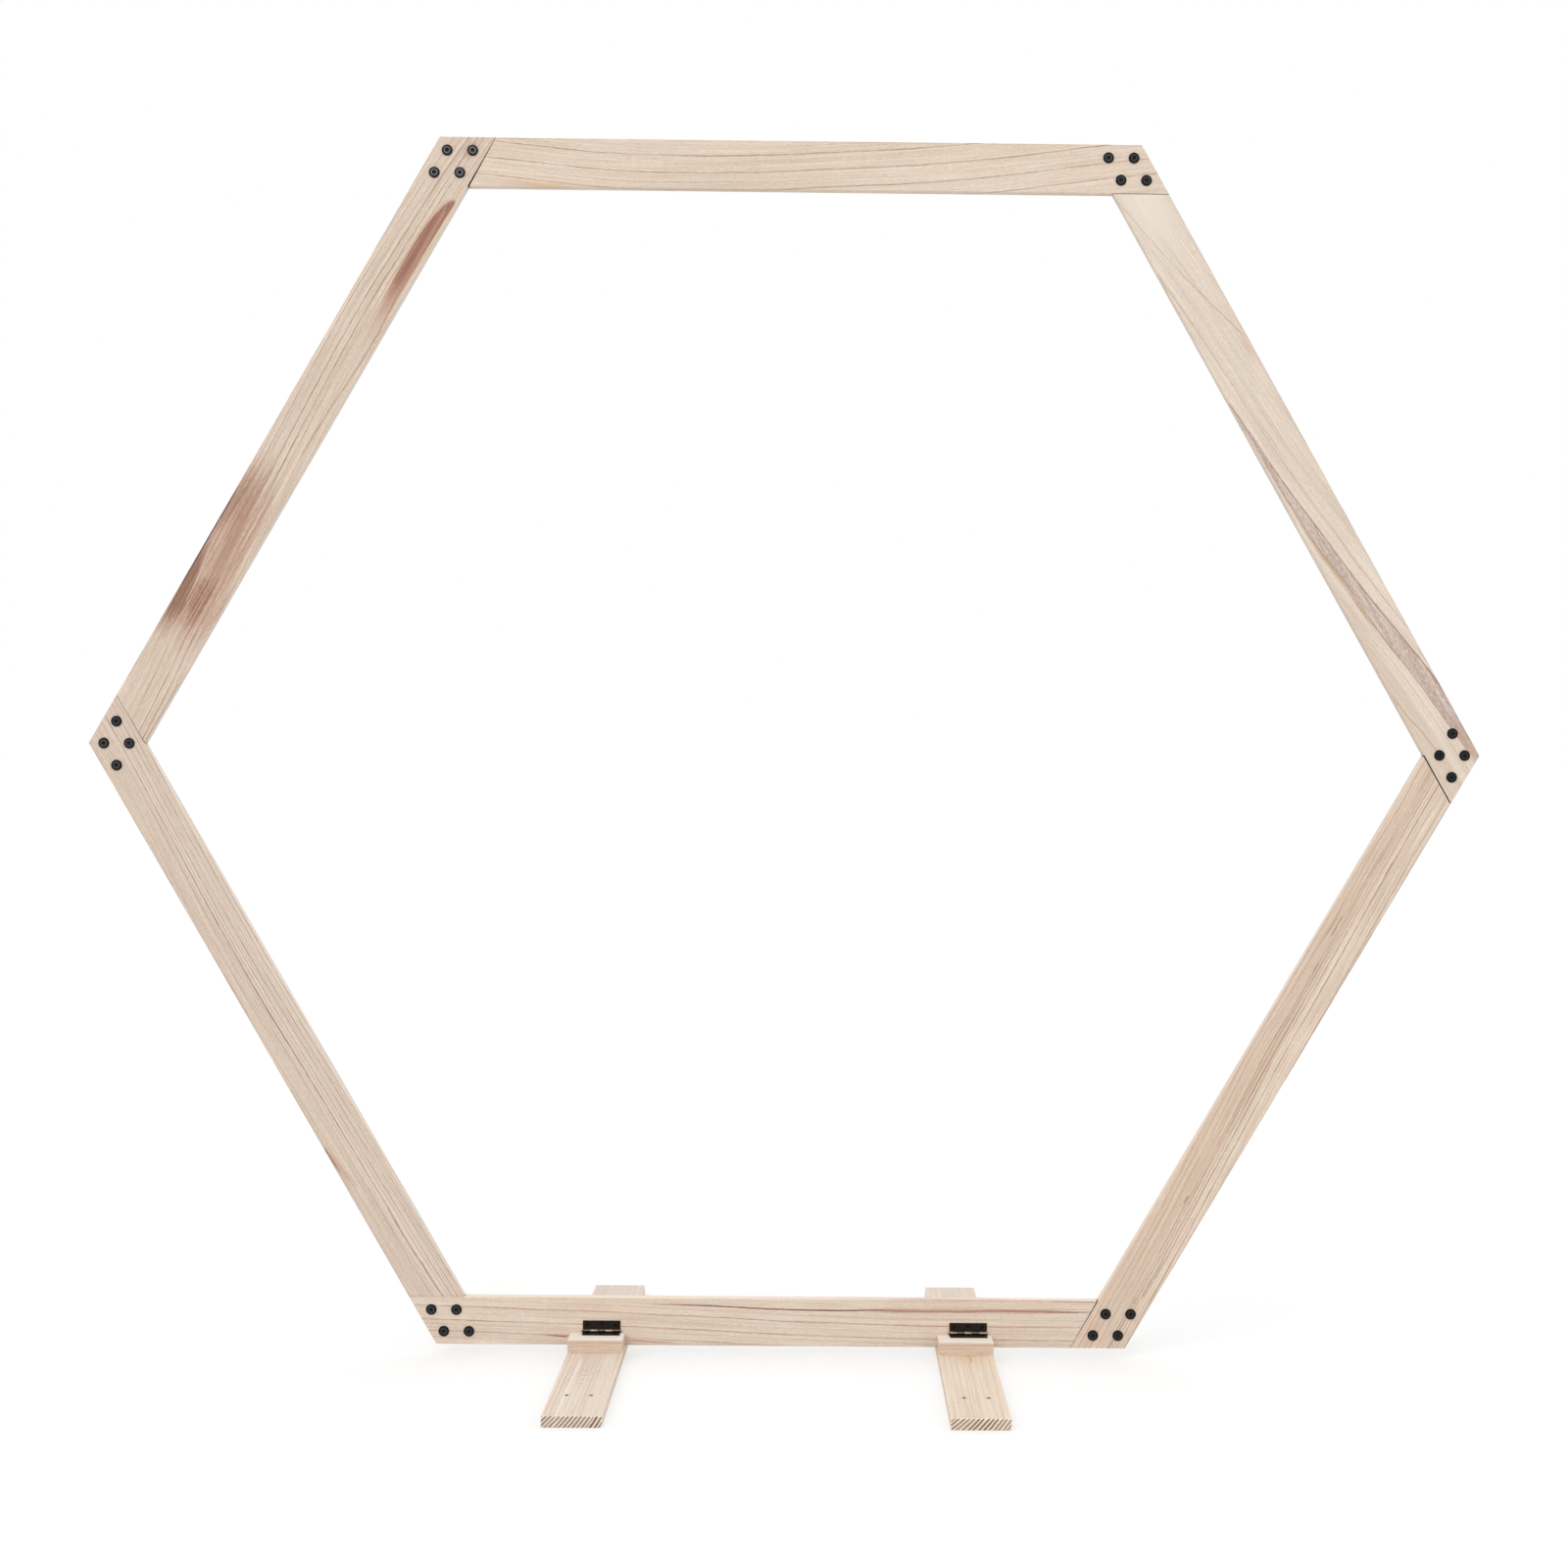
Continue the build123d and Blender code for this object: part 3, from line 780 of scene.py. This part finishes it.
# The blocks' grain. u runs along a block to its right, and v upwards.
block_grain = dict(
    seed=9, face=block_depth / 2, pith=(-60, 60), wander=2, ring=5.0, fine=0.5,
    course=[(-600, 0), (600, 3)], rings=[(4, 0.5), (-3, 0.4), (-7, 0.4)],
    pale=(223, 204, 187), warm=(218, 197, 178), flush=(218, 193, 174), line=(170, 130, 100), arris_highlight=0.12,
    # Painted top light: the block's top and bottom go most of the way to a paler colour
    edge=(246, 237, 226), edge_light_share=0.9, end_line=(190, 160, 136), end_light=0.3,
    stains=[
        # Painted shadow along the joint with the foot, darker at its left end
        streak((-60, 60, 5, 5), (104, 78, 62), 0.9, middle=[(-600, -10), (600, -10)], half=1.7,
               soft=0.7, ragged=0.8),
        streak((-60, -12, 5, 12), (62, 42, 34), 0.95, middle=[(-600, -9.6), (600, -9.6)], half=2.0,
               soft=0.8, ragged=0.8, fray=4),
    ],
)
along_y = Matrix(((0, 1, 0), (-1, 0, 0), (0, 0, 1)))
for foot in ("left", "right"):
    foot_grain = shared_foot_grain | feet_grain[foot]
    for node, turn, grain in (("foot_board", along_y, foot_grain), ("foot_block", upright, block_grain)):
        low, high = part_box(f"{node}_{foot}")
        coat(f"{node}_{foot}", wood(f"planed {node} {foot}", turn, (low + high) / 2 / MM, grain))


# Metal
def hinge_wear_and_highlight(place, normal, thin, mottle, lean):
    """How far a hinge's finish goes to its lighter colour, from 0 to 1, added to what it was.

    A painted highlight lies along the knuckles where they face lean degrees forward of
    straight up. Less is added along a track on the foot's leaf, e^-((d - track) / width)^2 at
    the depth d behind the pin, and a little along the arrises, as scuffing and painted highlight.
    """
    track, width = -8.5 * MM, 1.4 * MM
    _, y, z = split(place)
    _, back, up = split(normal)
    depth, height = y - pin_line[0], z - pin_line[1]
    reach = distance(depth, height)
    on_barrel = rise(reach, barrel_radius + 0.35 * MM, barrel_radius + 0.15 * MM)
    # Painted highlight along the knuckles, in the lighter colour
    crest_highlight = rise(up * cos(radians(lean)) - back * sin(radians(lean)), 0.8, 0.96)
    thin = larger(thin, on_barrel * crest_highlight * (0.65 + mottle * 0.5))
    off = (depth - track) / width
    thin = larger(thin, bell(off * off) * (1 - on_barrel) * mottle * 0.5)
    square = larger(abs(back), abs(up))
    return larger(thin, rise(square, 0.9, 0.75) * (1 - on_barrel) * mottle)


def metal(name, colour, worn_and_highlight, roughness, crest_highlight_lean=None):
    """Satin blackened steel: fine mottling, with small scuffs where the finish is thin.

    Where a piece has an attribute for rubbing and painted sheen, it goes further towards the
    lighter colour as that nears 1. A hinge gives, in degrees, the lean of its knuckles' painted
    highlight.
    """
    material, tree, shader = blank_material(name)
    coordinates = tree.nodes.new("ShaderNodeTexCoord")
    place = Signal(tree, coordinates.outputs["Object"])
    attribute = tree.nodes.new("ShaderNodeAttribute")
    attribute.attribute_name = "rubbed_and_sheen"
    rubbed_and_sheen = Signal(tree, attribute.outputs["Fac"])
    mottle = cloud(place, (4 * MM,) * 3, 1, 3.0, 0.6)
    grit = cloud(place, (0.5 * MM,) * 3, 2, 2.0)
    scuff = rise(cloud(place, (1.1 * MM,) * 3, 3, 3.0, 0.7), 0.58, 0.75)
    # A head's lighter ring of rubbing and painted sheen adds to the lighter colour here
    thin = mottle * 0.06 + scuff * 0.08 + rubbed_and_sheen * (0.5 + mottle * 0.7)
    if crest_highlight_lean is not None:
        thin = hinge_wear_and_highlight(place, Signal(tree, coordinates.outputs["Normal"]), thin, mottle, crest_highlight_lean)
    feed(tree, shader.inputs["Base Color"], mixed(thin, paint(*colour), paint(*worn_and_highlight)))
    feed(tree, shader.inputs["Roughness"], roughness + (grit - 0.5) * 0.25 - scuff * 0.08)
    shader.inputs["Metallic"].default_value = 0.7
    shader.inputs["Specular IOR Level"].default_value = 0.3
    roughened(tree, shader, grit, 0.02 * MM)
    return material


def rounded(corners, steps=4):
    """A profile with its corners rounded, as rows of radius, height and hexagon share.

    A corner p with a rounding d is the curve (1-t)^2 a + 2t(1-t) p + t^2 b, where a and b
    lie at the distance d from p towards the corners before and after it.
    """
    rows = [np.array(corners[0][:3], float)[None]]
    t = np.linspace(0, 1, steps)[:, None]
    for before, corner, after in zip(corners, corners[1:], corners[2:]):
        p = np.array(corner[:3], float)
        towards = [np.array(other[:3], float) - p for other in (before, after)]
        a, b = [p + d * corner[3] / np.linalg.norm(d[:2]) for d in towards]
        rows.append((1 - t) ** 2 * a + 2 * t * (1 - t) * p + t ** 2 * b)
    rows.append(np.array(corners[-1][:3], float)[None])
    return np.concatenate(rows)


def turned(profile, sides=48):
    """Points and faces of a profile turned about Z, closed at its two ends on the axis.

    Row i, side j is at radius r_i (1 + h_i (1 / cos(a_j) - 1)), where a_j is the angle from
    the middle of the hexagon's nearest flat and h_i is the row's hexagon share.
    """
    angle = np.arange(sides) * 2 * pi / sides
    from_flat = (angle + pi / 6) % (pi / 3) - pi / 6
    radius, height, share = profile[1:-1].T[:, :, None]
    radius = radius * (1 + share * (1 / np.cos(from_flat) - 1))
    ring = np.stack(np.broadcast_arrays(radius * np.cos(angle), radius * np.sin(angle), height), 2)
    ends = [[0, 0, profile[0, 1]], [0, 0, profile[-1, 1]]]
    points = np.concatenate([ring.reshape(-1, 3), ends])
    first = np.arange(sides)
    after = (first + 1) % sides
    row = np.arange(len(profile) - 3)[:, None] * sides
    quads = np.stack([row + first, row + after, row + sides + after, row + sides + first], 2)
    last = (len(profile) - 3) * sides
    base, tip = len(points) - 2, len(points) - 1
    base_fan = [(base, b, a) for a, b in zip(first, after)]
    tip_fan = [(tip, last + a, last + b) for a, b in zip(first, after)]
    return points, quads.reshape(-1, 4).tolist() + base_fan + tip_fan


# Bolts and cap nuts, in millimetres. A corner of a profile is its radius, its height over
# the board's face, its hexagon share and its rounding.
head_radius, head_height, head_bevel = 8.5, 2.4, 1.1
shank_radius, bolt_length, tip_bevel = 3.0, 15.0, 0.5
sleeve_radius, sleeve_length = 4.4, 8.4
thread_gap, thread_end = 0.05, 0.2
socket_apothem, socket_depth, socket_point = 2.5, 1.5, 0.25
socket_mouth, mouth_depth, flare_depth = 3.1, 0.06, 0.35
bolt_pitch = 40.0
# The rows on the flat of a head hold a lighter ring of rubbing and painted sheen, of this radius and width
ring_rows = (6.2, 5.4, 4.6, 3.8)
wear_and_sheen_radius, wear_and_sheen_width = 4.4, 1.2
head_corners = [
    (head_radius, 0, 0, 0.15),
    (head_radius, head_height - head_bevel, 0, 0.25),
    (head_radius - head_bevel, head_height, 0, 0.3),
    *[(radius, head_height, 0, 0.1) for radius in ring_rows],
    (socket_mouth, head_height - mouth_depth, 0, 0.12),
    (socket_apothem, head_height - flare_depth, 1, 0.1),
    (socket_apothem, head_height - socket_depth, 1, 0.12),
    (0, head_height - socket_depth - socket_point, 0),
]
bolt_profile = rounded([
    (0, -bolt_length, 0),
    (shank_radius - tip_bevel, -bolt_length, 0, 0.1),
    (shank_radius, -bolt_length + tip_bevel, 0, 0.1),
    (shank_radius, 0, 0, 0.1),
    *head_corners,
])
nut_profile = rounded([
    (0, thread_end, 0),
    (shank_radius + thread_gap, thread_end, 0, 0.05),
    (shank_radius + thread_gap, -sleeve_length, 0, 0.1),
    (sleeve_radius, -sleeve_length, 0, 0.2),
    (sleeve_radius, 0, 0, 0.1),
    *head_corners,
])


def bolt_centres(step):
    """The four bolts of a corner, at the points of a rhombus along its two boards, in mm."""
    middle = np.array([side / 2 - slant_run / 2, apothem - board_width / 2])
    along = np.array([1.0, 0.0])
    across = np.array([cos(radians(60)), -sin(radians(60))])
    turn = radians(60 * step)
    clockwise = np.array([[cos(turn), sin(turn)], [-sin(turn), cos(turn)]])
    places = [middle + (along * i + across * j) * bolt_pitch / 2 for i in (-1, 1) for j in (-1, 1)]
    return np.array(places) @ clockwise.T


def corner_hardware(name, step, profile, facing, seed, wear_and_sheen):
    """One node's four pieces, each turned to rest as it was driven home.

    A point (x, y, z) of the profile, turned about Z by the piece's own angle, goes to x
    sideways, z out of the board's face and y upwards. facing is -1 on the front, 1 on the back.
    The flat of each head is lighter, by rubbing and painted sheen, by the given share times
    e^-((r - R) / W)^2 at the radius r, for the ring's radius R and width W, from 0.7 to 1.3
    times that from one head to the next.
    """
    points, faces = turned(profile)
    rest = np.random.default_rng(seed).uniform(0, pi / 3, 4)[:, None]
    x, y, z = points.T
    right = x * np.cos(rest) - y * np.sin(rest)
    up = x * np.sin(rest) + y * np.cos(rest)
    centres = bolt_centres(step)[:, :, None]
    out = facing * (board_thickness / 2 + z)
    spots = np.stack([
        centres[:, 0] - facing * right,
        np.broadcast_to(out, right.shape),
        centres[:, 1] + up + hexagon_height,
    ], 2)
    mesh = bpy.data.meshes.new(name)
    shift = len(points)
    all_faces = [tuple(i + k * shift for i in face) for k in range(4) for face in faces]
    mesh.from_pydata((spots.reshape(-1, 3) * MM).tolist(), [], all_faces)
    mesh.shade_smooth()
    mesh.set_sharp_from_angle(angle=radians(50))
    # Rubbing and painted sheen: a lighter ring on each head's flat
    off = (np.hypot(x, y) - wear_and_sheen_radius) / wear_and_sheen_width
    ring = np.where(z > head_height - 0.5, np.exp(-(off ** 2)), 0)
    ring = wear_and_sheen * (0.7 + 0.6 * rest / (pi / 3)) * ring
    rubbed_and_sheen = mesh.attributes.new("rubbed_and_sheen", "FLOAT", "POINT")
    rubbed_and_sheen.data.foreach_set("value", ring.astype(np.float32).ravel())
    piece = bpy.data.objects.new(name, mesh)
    bpy.context.scene.collection.objects.link(piece)
    return piece


def ease(node):
    """Join a CAD node's loose triangles and round its edges a little, both by modifiers."""
    merged = node.modifiers.new("joined corners", "WELD")
    merged.merge_threshold = 0.01 * MM
    eased = node.modifiers.new("eased edges", "BEVEL")
    eased.width = 0.18 * MM
    eased.segments = 2
    eased.limit_method = "ANGLE"
    eased.angle_limit = radians(40)
    eased.harden_normals = True


black_steel = metal("black oxide steel", (8, 8, 9), (128, 129, 132), 0.4)
# The hinges' lighter colour is mostly a painted highlight along the knuckles; the foot leaf's copy has a
# brighter one, lower on its knuckles
dark_bronze = metal("dark bronze hinge", (20, 16, 17), (170, 153, 131), 0.36, 22)
bronze_brighter_highlight = metal("dark bronze hinge, brighter painted highlight", (20, 16, 17), (196, 176, 150), 0.36, 42)
screw_steel = metal("black screws", (8, 6, 6), (90, 84, 78), 0.4)
# How much lighter each corner's heads are on their flats, as rubbing and painted sheen
corner_wear_and_sheen = {
    "top_right": 0.3,
    "right": 0.1,
    "bottom_right": 0.15,
    "bottom_left": 0.25,
    "left": 0.28,
    "top_left": 0.6,
}
for step, corner in enumerate(corners):
    for kind, profile, facing in (("bolts", bolt_profile, -1), ("cap_nuts", nut_profile, 1)):
        seed = 10 * step + facing + 1
        piece = corner_hardware(f"{kind}_{corner}_turned", step, profile, facing, seed, corner_wear_and_sheen[corner])
        piece.data.materials.append(black_steel)
        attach(piece, "frame")
        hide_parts(f"{kind}_{corner}")

for name, node in nodes.items():
    if name.startswith("hinge"):
        bronze = bronze_brighter_highlight if "foot_leaf" in name else dark_bronze
        coat(name, screw_steel if "screws" in name else bronze)
        ease(node)


# Stage
def rays_that_see(tree):
    """1 for rays that show a thing to the camera, straight, mirrored or through glass."""
    path = tree.nodes.new("ShaderNodeLightPath")
    seen = larger(Signal(tree, path.outputs["Is Camera Ray"]), Signal(tree, path.outputs["Is Glossy Ray"]))
    return larger(seen, Signal(tree, path.outputs["Is Transmission Ray"]))


def pale_floor():
    """A wide flat floor whose lit part shows as white, with the object's soft shadow.

    What is seen of it is half a glow and half a matt white. Its light on the object comes
    from a greyer matt floor.
    """
    reach, drop = 150.0, 0.2 * MM
    white, grey = (0.98, 0.98, 0.98, 1), (0.7, 0.7, 0.7, 1)
    mesh = bpy.data.meshes.new("floor")
    x, y = np.meshgrid([-reach, reach], [-reach, reach])
    points = np.stack([x.ravel(), y.ravel(), np.full(4, -drop)], 1)
    mesh.from_pydata(points.tolist(), [], [(0, 1, 3, 2)])
    floor = bpy.data.objects.new("floor", mesh)
    bpy.context.scene.collection.objects.link(floor)
    material = bpy.data.materials.new("pale floor")
    material.use_nodes = True
    tree = material.node_tree
    tree.nodes.clear()
    seen = rays_that_see(tree)
    matt = tree.nodes.new("ShaderNodeBsdfDiffuse")
    feed(tree, matt.inputs["Color"], mixed(seen, grey, white))
    glow = tree.nodes.new("ShaderNodeEmission")
    blend = tree.nodes.new("ShaderNodeMixShader")
    feed(tree, blend.inputs[0], seen * 0.5)
    tree.links.new(matt.outputs[0], blend.inputs[1])
    tree.links.new(glow.outputs[0], blend.inputs[2])
    output = tree.nodes.new("ShaderNodeOutputMaterial")
    tree.links.new(blend.outputs[0], output.inputs["Surface"])
    mesh.materials.append(material)


def sun(name, strength, azimuth, elevation, width):
    """A soft lamp far off, as wide as the given degrees.

    Its strength is the light that it gives a face turned to it, as a share of white. It
    stands azimuth degrees to the right of the front and elevation degrees up.
    """
    data = bpy.data.lights.new(name, "SUN")
    data.energy = strength * pi
    data.angle = radians(width)
    lamp = bpy.data.objects.new(name, data)
    turn, height = radians(azimuth), radians(elevation)
    towards = Vector((sin(turn) * cos(height), -cos(turn) * cos(height), sin(height)))
    lamp.rotation_euler = towards.to_track_quat("Z", "Y").to_euler()
    bpy.context.scene.collection.objects.link(lamp)


def surroundings(strength):
    """Even light of the given strength from all sides, which shows as plain white."""
    world = bpy.data.worlds.new("studio")
    world.use_nodes = True
    tree = world.node_tree
    tree.nodes.clear()
    seen = rays_that_see(tree)
    background = tree.nodes.new("ShaderNodeBackground")
    feed(tree, background.inputs["Strength"], strength + seen * (1 - strength))
    background.inputs["Color"].default_value = (1, 1, 1, 1)
    output = tree.nodes.new("ShaderNodeOutputWorld")
    tree.links.new(background.outputs[0], output.inputs["Surface"])
    bpy.context.scene.world = world


def camera():
    """The viewpoint in front of the arch, nearly level and a little right of its middle."""
    viewpoint = (0.0536, -3.6073, 0.9617)
    turned_left, looking_down, rolled = radians(-0.54), radians(2.11), radians(0.53)
    data = bpy.data.cameras.new("camera")
    data.lens = 52.17
    data.sensor_width = 36.0
    data.shift_x, data.shift_y = -0.0361, 0.0348
    data.clip_end = 500
    viewer = bpy.data.objects.new("camera", data)
    turn = (
        Matrix.Rotation(turned_left, 4, "Z")
        @ Matrix.Rotation(pi / 2 - looking_down, 4, "X")
        @ Matrix.Rotation(rolled, 4, "Z")
    )
    viewer.matrix_world = Matrix.Translation(viewpoint) @ turn
    bpy.context.scene.collection.objects.link(viewer)
    bpy.context.scene.camera = viewer


pale_floor()
surroundings(0.85)
sun("key light", strength=0.24, azimuth=-25, elevation=36, width=40)
sun("side light", strength=0.08, azimuth=75, elevation=10, width=60)
sun("back light", strength=0.08, azimuth=160, elevation=45, width=60)
camera()
bpy.context.scene.view_settings.view_transform = "Standard"
